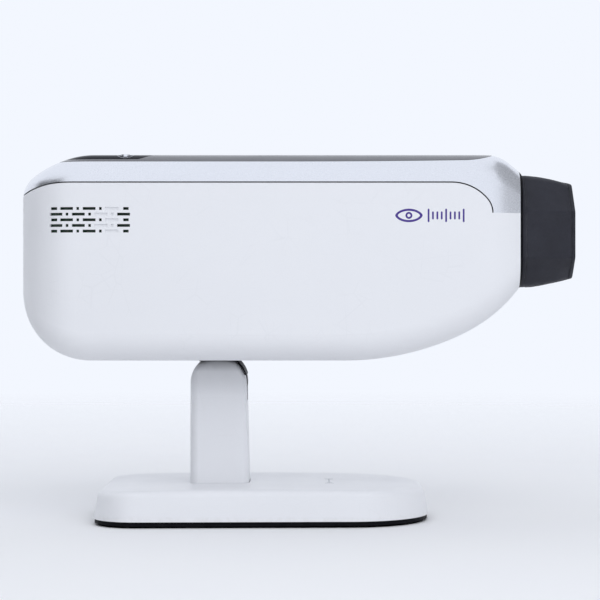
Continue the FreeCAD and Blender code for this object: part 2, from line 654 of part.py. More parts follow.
def nose_room(grow):
    """The room for the nose: a rounded wedge, moved out by grow."""
    wide, narrow, top = 24 + grow, 9 + grow, 270 + grow
    pts = [V(0, -wide, 200), V(0, wide, 200), V(0, narrow, top), V(0, -narrow, top)]
    wedge = Part.Face(Part.makePolygon(pts + pts[:1])).extrude(V(80, 0, 0))
    ridge = [e for e in wedge.Edges if e.BoundBox.ZMin > top - 10 and e.BoundBox.XLength > 50]
    wedge = wedge.makeFillet(8, ridge)
    wedge.translate(V(NOSE_X - grow, 0, 0))
    return wedge


def make_hood():
    lip, skin, start, tall = D["seal_depth"], D["hood_skin"], 200, 400
    rim = D["hood_end"] - lip
    groove_x = D["head_front"] + D["plate_thick"] + 3.6
    groove = hood_block(1).cut(hood_block(-0.5)).common(slab(groove_x, groove_x + 1, 0, tall))
    wall = hood_block(0).cut(hood_block(-skin)).common(slab(start, rim, 0, tall))
    node(solid("hood", wall.cut([face_room(lip), nose_room(lip), groove])), "eye_hood")
    soft = hood_block(0.9).cut(hood_block(-skin - 1.2)).cut([face_room(0), nose_room(0)])
    back = slab(start, rim + 0.1, 0, tall).cut([face_room(lip - 0.1), nose_room(lip - 0.1)])
    node(solid("seal_ring", soft.cut(back).common(slab(start, D["hood_end"], 0, tall))), "face_seal")


# ---------------------------------------------------------------- head frame

PD_RAILS = ("pd_x - 17", "pd_x + 17")
BUSH_R, BUSH_LENGTH = 7, 10


def make_frame():
    plate = pad("chassis", "XY_Plane", "chassis_z", rounded_box(-190, 184, -84, 84, 20), "chassis_thick")
    node(plate, "chassis_plate")

    disc = rod("knuckle_disc", "column_crown + 0.2", "2 * knuckle_half",
               (f"tilt_x + {DISC_SHIFT}", "-knuckle_half", f"tilt_z + {DISC_SHIFT}"), "y")
    neck = box("knuckle_neck", (24, "2 * knuckle_half", "chassis_z - tilt_z"),
               ("tilt_x - 12", "-knuckle_half", "tilt_z"))
    flange = box("knuckle_flange", (80, 70, 6), ("tilt_x - 40", -35, "chassis_z - 6"))
    bore = rod("knuckle_bore", BUSH_R, 40, ("tilt_x", -20, "tilt_z"), "y")
    node(cut("knuckle", fuse("knuckle_whole", disc, neck, flange), bore), "hinge_knuckle")
    bushes = []
    for side, start in (("a", "-knuckle_half"), ("b", f"knuckle_half - {BUSH_LENGTH}")):
        place = ("tilt_x", start, "tilt_z")
        bushes.append(cut(f"bush_{side}", rod(f"bush_out_{side}", BUSH_R, BUSH_LENGTH, place, "y"),
                          rod(f"bush_in_{side}", "pin_r + 0.05", BUSH_LENGTH, place, "y")))
    node(fuse("bushes", *bushes), "hinge_bushes")

    pillars = [cut(f"pillar_{k}", rod(f"pillar_out_{k}", 5, "chassis_z - head_bottom - head_skin - 0.1",
                                      (x, y, "head_bottom + head_skin + 0.1")),
                   rod(f"pillar_in_{k}", TAP_R, 12, (x, y, "head_bottom + head_skin")))
               for k, (x, y) in enumerate(SHELL_SCREWS)]
    node(fuse("pillars", *pillars), "shell_pillars")
    places = [(x, y, "head_bottom + 1.7") for x, y in SHELL_SCREWS]
    node(screws("shell_screw_set", places, 3.6, 1.6, TAP_R, 8), "shell_screws")

    side_outline = [(166, 195), (184, 195), (236, 228), (249.5, 236), (249.5, 322), (240, 322), (236, 262),
                    (226, 250), (176, 250), (166, 226)]
    middle_outline = [(166, 195), (184, 195), (236, 228), (236, 250), (176, 250), (166, 226)]
    plates = [pad("optics_right", "XZ_Plane", "68", lines(*side_outline), 8),
              pad("optics_left", "XZ_Plane", "-76", lines(*side_outline), 8),
              pad("optics_middle", "XZ_Plane", "-3", lines(*middle_outline), 6)]
    rails = [rod(f"pd_rail_room_{k}", "rail_r", 160, (x, -80, "pd_z"), "y") for k, x in enumerate(PD_RAILS)]
    screw = rod("pd_screw_room", "screw_r + rail_gap", 160, ("pd_x", -80, "pd_z"), "y")
    taps = [rod(f"front_tap_{k}", SCREW_R, 13, ("head_front - 11.5", y, z), "x")
            for k, (y, z) in enumerate(FRONT_SCREWS)]
    node(cut("optics", fuse("optics_whole", *plates), *rails, screw, *taps), "optics_brackets")
    parts = []
    for k, (y, z) in enumerate(FRONT_SCREWS):
        parts += [rod(f"front_head_{k}", 3.6, 2.2, ("head_front + plate_thick", y, z), "x"),
                  rod(f"front_shank_{k}", SCREW_R, 12, ("head_front + plate_thick - 12", y, z), "x")]
    node(fuse("front_screw_set", *parts), "front_screws")


# ---------------------------------------------------------------- optics

def make_pupil_stage():
    node(fuse("pd_rail_pair", *[rod(f"pd_rail_{k}", "rail_r", 152, (x, -76, "pd_z"), "y")
                                for k, x in enumerate(PD_RAILS)]), "pupil_rails")
    motor = box("pd_motor_can", (22, 20, 22), ("pd_x - 11", 76.1, "pd_z - 11"))
    bore = rod("pd_motor_bore", "screw_r + rail_gap", 10, ("pd_x", 76, "pd_z"), "y")
    node(cut("pd_motor", motor, bore), "pupil_motor")
    node(rod("pd_screw_rod", "screw_r", 157, ("pd_x", -73, "pd_z"), "y"), "pupil_screw")
    for side, name in ((-1, "right"), (1, "left")):
        make_eye(side, name)


def make_eye(side, name):
    """One eye's moving optics: tube, lens, lamp ring, beam splitter and camera on a sliding block."""
    y, n = f"{side} * eye_y", name + "_"
    lamps, lamp_circle = 8, 17.6

    def at_y(half):
        return f"{y} - {half}"

    base = box(n + "slide", (58, 32, 20), ("pd_x - 29", at_y(16), "pd_z - 10"))
    saddle = box(n + "saddle", (16, 24, "eye_z - pd_z - 18"), ("pd_x + 12", at_y(12), "pd_z + 8"))
    rest = box(n + "rest", (26, 26, "eye_z - pd_z - 20"), ("pd_x - 20", at_y(13), "pd_z + 8"))
    cheeks = [box(f"{n}cheek_{k}", (26, 2.5, "eye_z - pd_z + 25"), ("pd_x - 20", f"{y} + {dy}", "pd_z + 8"))
              for k, dy in enumerate((-15.5, 13))]
    rails = [rod(f"{n}rail_room_{k}", "rail_r + rail_gap", 40, (x, at_y(20), "pd_z"), "y")
             for k, x in enumerate(PD_RAILS)]
    screw = rod(n + "screw_room", "screw_r + rail_gap", 40, ("pd_x", at_y(20), "pd_z"), "y")
    tube_room = rod(n + "tube_room", "tube_r", 60, ("pd_x + 4", y, "eye_z"), "x")
    block = fuse(n + "block_whole", base, saddle, rest, *cheeks)
    node(cut(n + "block", block, *rails, screw, tube_room), n + "carriage")

    start, length = "pd_x + 8", "head_front + 8.5 - pd_x - 8"
    tube = cut(n + "tube", rod(n + "tube_out", "tube_r", length, (start, y, "eye_z"), "x"),
               rod(n + "tube_in", "tube_bore", 80, ("pd_x", y, "eye_z"), "x"))
    node(tube, n + "eyepiece_tube")

    blank = rod(n + "lens_blank", "tube_bore - 0.02", 12, ("head_front - 10", y, "eye_z"), "x")
    bowls = [ball(f"{n}lens_bowl_{k}", "lens_bend",
                  (f"head_front - 4 + {k} * (lens_bend - lens_half)", y, "eye_z")) for k in (-1, 1)]
    node(common(n + "lens", common(n + "lens_back", blank, bowls[0]), bowls[1]), n + "eyepiece_lens")

    disc = rod(n + "lamp_out", "tube_r - 0.2", CARD, ("head_front + 8.6", y, "eye_z"), "x")
    hole = rod(n + "lamp_in", "tube_bore - 2", 10, ("head_front + 4", y, "eye_z"), "x")
    ring = cut(n + "lamp_board", disc, hole)
    domes = []
    for k in range(lamps):
        a = 2 * math.pi * (k + 0.5) / lamps
        dy, dz = lamp_circle * math.cos(a), lamp_circle * math.sin(a)
        place = ("head_front + 9", f"{y} + {dy}", f"eye_z + {dz}")
        domes.append(rod(f"{n}lamp_{k}", 1.2, 2.2, place, "x"))
    node(fuse(n + "lamps", ring, *domes), n + "lamp_ring")

    node(box(n + "prism", (26, 26, 24), ("pd_x - 20", at_y(13), "eye_z - 12")), n + "beam_splitter")
    camera_box = box(n + "camera_box", (24, 24, 16), ("pd_x - 19", at_y(12), "eye_z + 17"))
    camera_lens = rod(n + "camera_lens", 8, 5, ("pd_x - 7", y, "eye_z + 12.1"))
    node(fuse(n + "camera_whole", camera_box, camera_lens), n + "camera")


FOCUS_X0, FOCUS_X1 = -26, 150
FOCUS_END = 8
FOCUS_RAILS = (-30, 30)


def make_focus_stage():
    half, span, into_motor = 44, FOCUS_X1 + FOCUS_END - FOCUS_X0, 12
    blocks = [box(f"focus_end_{k}", (FOCUS_END, 2 * half, 32), (x, -half, "chassis_z + chassis_thick"))
              for k, x in enumerate((FOCUS_X0, FOCUS_X1))]
    rails = [rod(f"focus_rail_room_{k}", "rail_r", 200, (FOCUS_X0 - 5, y, "focus_z"), "x")
             for k, y in enumerate(FOCUS_RAILS)]
    screw = rod("focus_screw_room", "screw_r + rail_gap", 200, (FOCUS_X0 - 5, 0, "focus_z"), "x")
    node(cut("focus_ends", fuse("focus_ends_whole", *blocks), *rails, screw), "focus_brackets")
    pair = [rod(f"focus_rail_{k}", "rail_r", span, (FOCUS_X0, y, "focus_z"), "x")
            for k, y in enumerate(FOCUS_RAILS)]
    node(fuse("focus_rail_pair", *pair), "focus_rails")
    motor = box("focus_motor_can", (24, 28, 28), (FOCUS_X0 - 24.1, -14, "focus_z - 14"))
    bore = rod("focus_motor_bore", "screw_r + rail_gap", 14, (FOCUS_X0 - 14, 0, "focus_z"), "x")
    node(cut("focus_motor", motor, bore), "focus_drive_motor")
    node(rod("focus_screw_rod", "screw_r", span - 2 + into_motor, (FOCUS_X0 - into_motor, 0, "focus_z"), "x"),
         "focus_screw")

    block = box("stage_block", (30, 80, 20), (60, -40, "focus_z - 9"))
    wall = box("stage_wall", (6, 116, 98), (70, -58, "focus_z"))
    bores = [rod(f"stage_bore_{k}", "rail_r + rail_gap", 60, (50, y, "focus_z"), "x")
             for k, y in enumerate((*FOCUS_RAILS, 0))]
    node(cut("stage", fuse("stage_whole", block, wall), *bores), "focus_carriage")
    node(box("chart", (4, 112, 60), (76, -56, "eye_z - 30")), "chart_display")


# ---------------------------------------------------------------- electronics

MAIN_BOARD_Y = -86.4         # the main board's inner face
FAN = V(-140, 89.7, 270)


def make_electronics():
    node(box("display", (36, 148, 5.5), (-167, -74, "screen_z - 4.5")), "display_module")
    drop = 7.3
    stack = (("cap", "button_r", "head_top - button_z", 0.1), ("flange", "button_r + 1.5", 1.4, 1.4),
             ("stem", 2, 4, 4.3))
    node(fuse("button_whole", *[rod(f"button_{name}", r, tall, ("button_x", "button_y", f"button_z - {down}"))
                                for name, r, tall, down in stack]), "start_button")
    card = box("button_card", (40, 34, CARD), (-134, -91, f"button_z - {drop + CARD}"))
    switch = box("button_switch", (6, 6, 1.9), ("button_x - 3", "button_y - 3", f"button_z - {drop}"))
    up_to_panel = f"head_top - head_skin - button_z + {drop}"
    legs = [rod(f"button_leg_{k}", 2.5, up_to_panel, (-97, y, f"button_z - {drop}"))
            for k, y in enumerate((-74, -62))]
    node(fuse("button_board_whole", card, switch, *legs), "button_board")

    back = MAIN_BOARD_Y
    corners = ((-200, 214), (-112, 214), (-112, 318), (-200, 318))
    card = pad("main_card", "XZ_Plane", -back, lines(*corners), CARD)
    chips = [box(f"chip_{z}", (14, 2.5, 14), (-142, back, z)) for z in (262, 284)]
    chips.append(box("heat_sink", (30, 10, 36), (-182, back, 250)))
    chips += [box("plug_row", (50, 8, 7), (-176, back, 222)), box("side_plug", (7, 8, 30), (-122, back, 226))]
    node(fuse("main", card, *chips), "main_board")

    floor, lift = "chassis_z + chassis_thick", 8
    feet = [box(f"board_foot_{k}", (8, 12, 30), (x, back + 0.2, floor)) for k, x in enumerate((-190, -112))]
    legs = [rod(f"board_leg_{k}", 3, lift, (x, y, floor))
            for k, (x, y) in enumerate(((-145, -34), (-145, 34), (-66, -34), (-66, 34)))]
    node(fuse("board_stands", *feet, *legs), "board_supports")
    card = pad("driver_card", "XY_Plane", f"{floor} + {lift}", rounded_box(-150, -60, -40, 40, 3), CARD)
    top, pitch = f"{floor} + {lift + CARD}", 26
    chips = [box(f"driver_{k}", (12, 12, 4), (-138 + pitch * k, -18, top)) for k in range(3)]
    plugs = [box(f"driver_plug_{k}", (16, 6, 8), (-138 + pitch * k, 28, top)) for k in range(3)]
    node(fuse("driver", card, *chips, *plugs), "driver_board")


def make_fan():
    x, y, z = FAN
    half, depth, along, hub_r, axle_r, back = 30, 10, V(0, 1, 0), 13, 1.5, 8.5
    block = Box(2 * half, depth, 2 * half, V(x - half, y, z - half))
    block = block.makeFillet(3, [e for e in block.Edges if e.BoundBox.YLength > depth - 1])
    duct = Cylinder(half - 1.4, 30, V(x, y - 10, z), along)
    ears = [Cylinder(2.2, 30, V(x + dx, y - 10, z + dz), along) for dx in (-25, 25) for dz in (-25, 25)]
    spokes = []
    for angle in range(45, 360, 90):
        spoke = Box(half, depth - back, 2.4, V(0, 0, -1.2))
        spoke.rotate(V(), along, angle)
        spoke.translate(V(x, y + back, z))
        spokes.append(spoke)
    hub = Cylinder(hub_r, depth - back, V(x, y + back, z), along)
    axle = Cylinder(axle_r, back, V(x, y + 0.5, z), along)
    housing = block.cut([duct] + ears).fuse(spokes + [hub, axle]).removeSplitter()
    node(solid("fan_housing", housing), "fan_frame")

    rotor, count, twist = Cylinder(hub_r, 7, V(x, y + 1, z), along), 7, 52
    blades = []
    for k in range(count):
        blade = Box(15, 1.2, 9, V(hub_r - 0.6, -0.6, -4.5))
        blade.rotate(V(), V(1, 0, 0), twist)
        blade.translate(V(0, y + 4.5, 0))
        blade.rotate(V(), along, 360 / count * k)
        blade.translate(V(x, 0, z))
        blades.append(blade)
    bore = Cylinder(axle_r + 0.05, 30, V(x, y - 5, z), along)
    node(solid("rotor", rotor.fuse(blades).cut(bore).removeSplitter()), "fan_rotor")


# ---------------------------------------------------------------- build and export

def check_and_export():
    doc.recompute()
    bad = [o.Name for o in doc.Objects if "Invalid" in o.State or "Error" in o.State]
    if bad:
        raise RuntimeError("failed: " + ", ".join(bad))
    for o in NODES:
        if o.Shape.isNull() or not o.Shape.isValid() or not o.Shape.Solids:
            raise RuntimeError("no valid solid: " + o.Label)
    os.makedirs("parts", exist_ok=True)
    for o in NODES:
        o.Shape.exportStep(os.path.join("parts", o.Label + ".step"))


fill_sheet()
make_base()
make_power()
make_frame()
make_shells()
make_hood()
make_pupil_stage()
make_focus_stage()
make_electronics()
make_fan()
check_and_export()
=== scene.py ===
import json
import math
import random

import bmesh
import bpy
from mathutils import Matrix, Vector
from mathutils.bvhtree import BVHTree


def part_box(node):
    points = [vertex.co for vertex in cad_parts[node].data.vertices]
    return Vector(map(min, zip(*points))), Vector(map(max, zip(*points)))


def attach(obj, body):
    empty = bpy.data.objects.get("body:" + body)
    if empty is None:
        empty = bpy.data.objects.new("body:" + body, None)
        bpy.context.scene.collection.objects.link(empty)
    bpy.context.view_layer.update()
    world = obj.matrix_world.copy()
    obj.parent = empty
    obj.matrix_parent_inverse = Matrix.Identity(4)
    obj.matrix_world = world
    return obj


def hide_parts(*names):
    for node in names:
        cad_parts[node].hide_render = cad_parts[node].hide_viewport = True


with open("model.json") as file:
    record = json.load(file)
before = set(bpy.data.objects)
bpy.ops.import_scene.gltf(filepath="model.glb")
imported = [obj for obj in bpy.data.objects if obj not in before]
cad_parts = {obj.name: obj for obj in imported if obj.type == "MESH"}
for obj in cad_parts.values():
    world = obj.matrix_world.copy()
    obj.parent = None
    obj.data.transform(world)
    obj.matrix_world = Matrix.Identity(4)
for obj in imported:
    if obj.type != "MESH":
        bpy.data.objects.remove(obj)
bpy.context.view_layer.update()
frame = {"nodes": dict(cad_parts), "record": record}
nodes = frame["nodes"]
MM = 0.001
ALONG, ACROSS, UP = (1, 0, 0), (0, 1, 0), (0, 0, 1)      # the frame's own axes


# ---------------------------------------------------------------- materials

class Shade:
    """A Principled material with short calls for the procedural detail that feeds it."""

    def __init__(self, name, base, rough, metallic=0.0, **sockets):
        self.mat = bpy.data.materials.new(name)
        self.mat.use_nodes = True
        self.tree = self.mat.node_tree
        self.bsdf = self.tree.nodes["Principled BSDF"]
        self.paint = base
        self.bsdf.inputs["Base Color"].default_value = (*base, 1)
        self.bsdf.inputs["Roughness"].default_value = rough
        self.bsdf.inputs["Metallic"].default_value = metallic
        for key, value in sockets.items():
            self.bsdf.inputs[key.replace("_", " ")].default_value = value
        self.place = self.node("ShaderNodeTexCoord").outputs["Object"]
        self.normal = None

    def node(self, kind, **props):
        n = self.tree.nodes.new(kind)
        for key, value in props.items():
            setattr(n, key, value)
        return n

    def link(self, a, b):
        self.tree.links.new(a, b)

    def feed(self, socket, value):
        """Sets a socket to a number or colour, or joins it to another node's output."""
        if isinstance(value, tuple):
            socket.default_value = (*value, 1)
        elif isinstance(value, (int, float)):
            socket.default_value = value
        else:
            self.link(value, socket)

    def stretched(self, scale):
        m = self.node("ShaderNodeMapping")
        m.inputs["Scale"].default_value = scale
        self.link(self.place, m.inputs["Vector"])
        return m.outputs["Vector"]

    def noise(self, scale, detail=3.0, stretch=None):
        """Noise whose grain is 1/scale metres."""
        n = self.node("ShaderNodeTexNoise")
        n.inputs["Scale"].default_value = scale
        n.inputs["Detail"].default_value = detail
        self.link(self.stretched(stretch) if stretch else self.place, n.inputs["Vector"])
        return n.outputs["Fac"]

    def cells(self, scale, feature="F1", stretch=None):
        n = self.node("ShaderNodeTexVoronoi", feature=feature)
        n.inputs["Scale"].default_value = scale
        self.link(self.stretched(stretch) if stretch else self.place, n.inputs["Vector"])
        return n.outputs["Distance"]

    def ramp(self, value, low, high, out_low=0.0, out_high=1.0):
        n = self.node("ShaderNodeMapRange")
        limits = {"From Min": low, "From Max": high, "To Min": out_low, "To Max": out_high}
        for key, number in limits.items():
            n.inputs[key].default_value = number
        self.link(value, n.inputs["Value"])
        return n.outputs["Result"]

    def mix(self, fac, a, b):
        n = self.node("ShaderNodeMix", data_type="RGBA")
        self.link(fac, n.inputs["Factor"])
        colours = [i for i in n.inputs if i.type == "RGBA"]
        self.feed(colours[0], a)
        self.feed(colours[1], b)
        return [o for o in n.outputs if o.type == "RGBA"][0]

    def math(self, operation, a, b):
        n = self.node("ShaderNodeMath", operation=operation)
        self.feed(n.inputs[0], a)
        self.feed(n.inputs[1], b)
        return n.outputs["Value"]

    def height(self, axis="Z"):
        """Where a point is along an axis, in metres."""
        n = self.node("ShaderNodeSeparateXYZ")
        self.link(self.place, n.inputs["Vector"])
        return n.outputs[axis]

    def scratches(self, scale, width=0.02):
        """Mask of fine crossing hairlines."""
        layers = [self.ramp(self.cells(scale, "DISTANCE_TO_EDGE", s), 0.0, width, 1.0, 0.0)
                  for s in ((1, 6, 0.5), (0.4, 6, 1.3))]
        sparse = self.ramp(self.noise(scale * 0.6, 2), 0.5, 0.62)
        return self.math("MULTIPLY", self.math("MAXIMUM", *layers), sparse)

    def edges(self, radius):
        """Mask of the piece's edges, as far as radius, broken up by noise."""
        bevel = self.node("ShaderNodeBevel", samples=4)
        bevel.inputs["Radius"].default_value = radius
        true = self.node("ShaderNodeNewGeometry")
        dot = self.node("ShaderNodeVectorMath", operation="DOT_PRODUCT")
        self.link(bevel.outputs["Normal"], dot.inputs[0])
        self.link(true.outputs["Normal"], dot.inputs[1])
        turned = self.ramp(dot.outputs["Value"], 0.93, 0.995, 1.0, 0.0)
        return self.math("MULTIPLY", turned, self.ramp(self.noise(160, 4), 0.35, 0.6, 0.35, 1.0))

    def tint(self, fac, other):
        """Mixes another colour into the paint by fac."""
        self.paint = self.mix(fac, self.paint, other)
        self.link(self.paint, self.bsdf.inputs["Base Color"])
        return self

    def roughness(self, fac, low, high):
        self.link(self.ramp(fac, 0.25, 0.75, low, high), self.bsdf.inputs["Roughness"])
        return self

    def bump(self, height, distance, strength=1.0):
        n = self.node("ShaderNodeBump")
        n.inputs["Distance"].default_value = distance
        n.inputs["Strength"].default_value = strength
        self.link(height, n.inputs["Height"])
        if self.normal is not None:
            self.link(self.normal, n.inputs["Normal"])
        self.normal = n.outputs["Normal"]
        self.link(self.normal, self.bsdf.inputs["Normal"])
        return self


def white_plastic(name, shade_top=None):
    """Satin moulded shell: fine spark-eroded texture, faint flow marks, handling haze, scuffs near the floor.

    Towards a given top it is greyed: painted shade that stands in for the shadow under the head, where the
    column enters it."""
    s = Shade(name, (0.80, 0.805, 0.825), 0.36, Coat_Weight=0.10, Coat_Roughness=0.3)
    s.tint(s.ramp(s.noise(7, 4, (0.6, 1, 1.4)), 0.35, 0.7), (0.785, 0.79, 0.812))
    s.tint(s.ramp(s.noise(900, 2), 0.45, 0.75, 0.0, 0.5), (0.77, 0.775, 0.797))
    ragged = s.math("ADD", s.height(), s.ramp(s.noise(220, 4), 0.3, 0.7, 0.0, 0.006))
    s.tint(s.ramp(ragged, 0.006, 0.013, 0.35, 0.0), (0.62, 0.615, 0.60))
    s.tint(s.math("MULTIPLY", s.scratches(38), 0.16), (0.66, 0.67, 0.69))
    # Painted shade: the column grows darker towards its top, in place of the shadow the head casts on it.
    if shade_top is not None:
        for start, most in ((40, 0.35), (16, 0.75)):
            painted_shade = s.ramp(s.height(), shade_top - start * MM, shade_top - 6 * MM, 0.0, most)
            shade_patchiness = s.ramp(s.noise(120, 3), 0.2, 0.6, 0.85, 1.0)
            s.tint(s.math("MULTIPLY", painted_shade, shade_patchiness), (0.10, 0.10, 0.11))
    s.roughness(s.noise(26, 6), 0.30, 0.43)
    s.bump(s.cells(1500), 0.000025, 0.35)
    return s.bump(s.noise(42, 3), 0.0002, 0.04).mat


def silver_paint(name):
    """Metallic lacquer: fine flake under a satin coat."""
    s = Shade(name, (0.86, 0.875, 0.92), 0.26, 0.92, Coat_Weight=0.35, Coat_Roughness=0.16)
    s.tint(s.ramp(s.cells(4200), 0.15, 0.75), (0.79, 0.805, 0.85))
    s.tint(s.ramp(s.noise(5, 3), 0.4, 0.7), (0.83, 0.845, 0.89))
    s.tint(s.math("MULTIPLY", s.scratches(46), 0.12), (0.62, 0.63, 0.66))
    s.roughness(s.noise(2400, 2), 0.24, 0.31)
    return s.bump(s.noise(3200, 2), 0.00001, 0.35).mat


def dark_gloss():
    """Dark grey metallic top panel under clear lacquer."""
    s = Shade("dark_gloss", (0.16, 0.16, 0.172), 0.32, 0.25, Coat_Weight=0.7, Coat_Roughness=0.12)
    s.tint(s.ramp(s.cells(3600), 0.2, 0.8), (0.125, 0.126, 0.136))
    s.tint(s.ramp(s.noise(30, 5, (1, 3, 1)), 0.5, 0.75, 0.0, 0.3), (0.19, 0.192, 0.206))
    s.roughness(s.noise(40, 6), 0.26, 0.40)
    return s.bump(s.noise(2200, 2), 0.00002, 0.3).mat


def cover_glass(name, base):
    """Black-printed cover glass with faint finger smears."""
    s = Shade(name, base, 0.07, Specular_IOR_Level=0.06)
    s.tint(s.ramp(s.noise(16, 3), 0.4, 0.7), tuple(1.4 * c for c in base))
    smears = s.math("MAXIMUM", s.ramp(s.noise(34, 5, (1, 2.6, 1)), 0.5, 0.72), s.scratches(60, 0.015))
    return s.roughness(smears, 0.05, 0.19).mat


def hood_plastic():
    """Charcoal plastic with a leather-fine moulded grain, rubbed paler along its edges."""
    s = Shade("hood_plastic", (0.021, 0.0215, 0.030), 0.5, Specular_IOR_Level=0.3)
    s.tint(s.ramp(s.noise(48, 5), 0.35, 0.7), (0.027, 0.028, 0.039))
    s.tint(s.ramp(s.cells(1300), 0.25, 0.7, 0.0, 0.6), (0.015, 0.0155, 0.022))
    s.tint(s.edges(0.0008), (0.06, 0.062, 0.07))
    s.tint(s.math("MULTIPLY", s.scratches(44, 0.012), 0.12), (0.06, 0.062, 0.07))
    s.roughness(s.noise(110, 5), 0.44, 0.62)
    return s.bump(s.cells(1300), 0.00009, 0.5).mat


def silicone(name, base, grain=1900, gloss=0.3, sheen=0.12):
    """Soft rubber: chalky bloom, faint dust, a matt skin."""
    s = Shade(name, base, 0.66, Specular_IOR_Level=gloss, Sheen_Weight=sheen, Sheen_Roughness=0.5)
    s.tint(s.ramp(s.noise(70, 6), 0.42, 0.72), tuple(1.5 * c for c in base))
    s.tint(s.ramp(s.noise(1100, 3), 0.62, 0.75, 0.0, 0.5), tuple(min(1.0, 3.2 * c) for c in base))
    s.roughness(s.noise(240, 4), 0.56, 0.78)
    return s.bump(s.noise(grain, 3), 0.00005, 0.5).mat


def black_plastic():
    """Black moulded plastic, finely eroded, greyed where hands and floors rub it."""
    s = Shade("black_plastic", (0.004, 0.004, 0.006), 0.46, Specular_IOR_Level=0.05)
    s.tint(s.ramp(s.noise(60, 5), 0.4, 0.7), (0.007, 0.007, 0.009))
    s.tint(s.edges(0.0005), (0.018, 0.018, 0.020))
    s.tint(s.math("MULTIPLY", s.scratches(50, 0.012), 0.15), (0.05, 0.05, 0.053))
    s.roughness(s.noise(260, 4), 0.38, 0.56)
    return s.bump(s.cells(1700), 0.00005, 0.5).mat


def metal(name, base, rough, grain=(1, 40, 40), coarse=60):
    """Metal with drawn or milled streaks, duller in patches and bright on its edges."""
    s = Shade(name, base, rough, 1.0)
    streaks = s.noise(coarse, 5, grain)
    s.tint(s.ramp(streaks, 0.35, 0.7), tuple(0.8 * c for c in base))
    s.tint(s.ramp(s.noise(35, 5), 0.5, 0.75, 0.0, 0.6), tuple(0.68 * c for c in base))
    s.tint(s.edges(0.0004), tuple(min(0.95, 1.35 * c + 0.03) for c in base))
    s.roughness(streaks, rough * 0.75, rough * 1.3)
    return s.bump(streaks, 0.00002, 0.35).mat


def circuit_board(name, mask):
    """Solder mask over copper tracks and pads."""
    s = Shade(name, mask, 0.35, Coat_Weight=0.4, Coat_Roughness=0.15)
    tracks = s.ramp(s.cells(240, "DISTANCE_TO_EDGE"), 0.03, 0.06)
    s.tint(tracks, tuple(1.8 * c for c in mask))
    s.tint(s.ramp(s.cells(420), 0.10, 0.14, 1.0, 0.0), (0.38, 0.33, 0.18))
    s.roughness(s.noise(400, 3), 0.28, 0.42)
    return s.bump(tracks, 0.00006, 0.5).mat


def lens_glass():
    """Coated optical glass: a violet-green bloom over clear glass, with a little dust."""
    s = Shade("lens_glass", (0.80, 0.86, 0.95), 0.03, IOR=1.52, Transmission_Weight=0.9, Coat_Weight=0.6,
              Coat_IOR=1.9)
    s.tint(s.ramp(s.noise(28, 2), 0.4, 0.7), (0.70, 0.74, 0.95))
    s.tint(s.ramp(s.noise(700, 3), 0.7, 0.78, 0.0, 0.4), (0.9, 0.9, 0.9))
    return s.roughness(s.noise(90, 4), 0.02, 0.06).mat


def ink(name, base):
    """Pad-printed ink: dense, slightly mottled, a little glossier than the shell."""
    s = Shade(name, base, 0.3, Coat_Weight=0.2, Coat_Roughness=0.2)
    s.tint(s.ramp(s.noise(1500, 3), 0.45, 0.75, 0.0, 0.6), tuple(min(1.0, 1.25 * c + 0.01) for c in base))
    s.roughness(s.noise(800, 3), 0.25, 0.4)
    return s.bump(s.noise(2600, 2), 0.00001, 0.4).mat


MATERIALS = {
    "white_shell": white_plastic("white_plastic"),
    "silver_frame": silver_paint("silver_frame_paint"),
    "dark_panel": dark_gloss(),
    "screen_glass": cover_glass("screen_glass", (0.007, 0.008, 0.012)),
    "hood_plastic": hood_plastic(),
    "seal_rubber": silicone("seal_silicone", (0.014, 0.015, 0.021)),
    "base_rubber": silicone("base_rubber", (0.0015, 0.0015, 0.002), 1200, 0.02, 0.0),
    "black_plastic": black_plastic(),
    "steel": metal("steel", (0.56, 0.57, 0.58), 0.3),
    "screw_steel": metal("screw_steel", (0.26, 0.26, 0.28), 0.35, (1, 1, 1), 240),
    "aluminium": metal("aluminium", (0.72, 0.73, 0.75), 0.38),
    "dark_aluminium": metal("dark_aluminium", (0.035, 0.036, 0.04), 0.42),
    "bronze": metal("bronze", (0.55, 0.36, 0.17), 0.4),
    "board_green": circuit_board("circuit_board", (0.006, 0.045, 0.018)),
    "motor_black": silicone("motor_enamel", (0.02, 0.02, 0.022)),
    "lens_glass": lens_glass(),
    "display_glass": cover_glass("display_glass", (0.03, 0.036, 0.05)),
    "button_silver": silver_paint("button_paint"),
}
INDIGO = ink("indigo_ink", (0.045, 0.016, 0.22))
GREY = ink("grey_ink", (0.42, 0.43, 0.47))
PALE = ink("pale_ink", (0.72, 0.74, 0.78))
DISPLAY_OFF = cover_glass("display_off", (0.018, 0.021, 0.030))
BLACK_BOARD = circuit_board("black_board", (0.010, 0.010, 0.012))
LAMP_DOME = cover_glass("lamp_dome", (0.30, 0.31, 0.36))


def dress_cad_nodes():
    """Gives every CAD node its slot's material."""
    slot_of = {s["node"]: s["material_slot"] for s in frame["record"]["subparts"]}
    for name, obj in nodes.items():
        obj.data.materials.clear()
        obj.data.materials.append(MATERIALS[slot_of[name]])
    # The column shell gets the white plastic with painted shade towards its top, under the head.
    column = nodes["column_shell"].data.materials
    column[0] = white_plastic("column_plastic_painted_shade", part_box("column_shell")[1].z)


# ---------------------------------------------------------------- mesh helpers

def add_piece(name, bm, material, body, smooth=True):
    """Puts a bmesh in the scene as a piece that rides on a body."""
    bmesh.ops.recalc_face_normals(bm, faces=bm.faces)
    mesh = bpy.data.meshes.new(name)
    bm.to_mesh(mesh)
    bm.free()
    for p in mesh.polygons:
        p.use_smooth = smooth
    mesh.materials.append(material)
    obj = bpy.data.objects.new(name, mesh)
    bpy.context.scene.collection.objects.link(obj)
    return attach(obj, body)


def bake_modifiers(obj):
    """Turns the modified mesh into the piece's own mesh."""
    graph = bpy.context.evaluated_depsgraph_get()
    done = bpy.data.meshes.new_from_object(obj.evaluated_get(graph))
    obj.modifiers.clear()
    obj.data = done


def angles(count):
    """Even steps round a full turn, in radians."""
    return [2 * math.pi * k / count for k in range(count)]


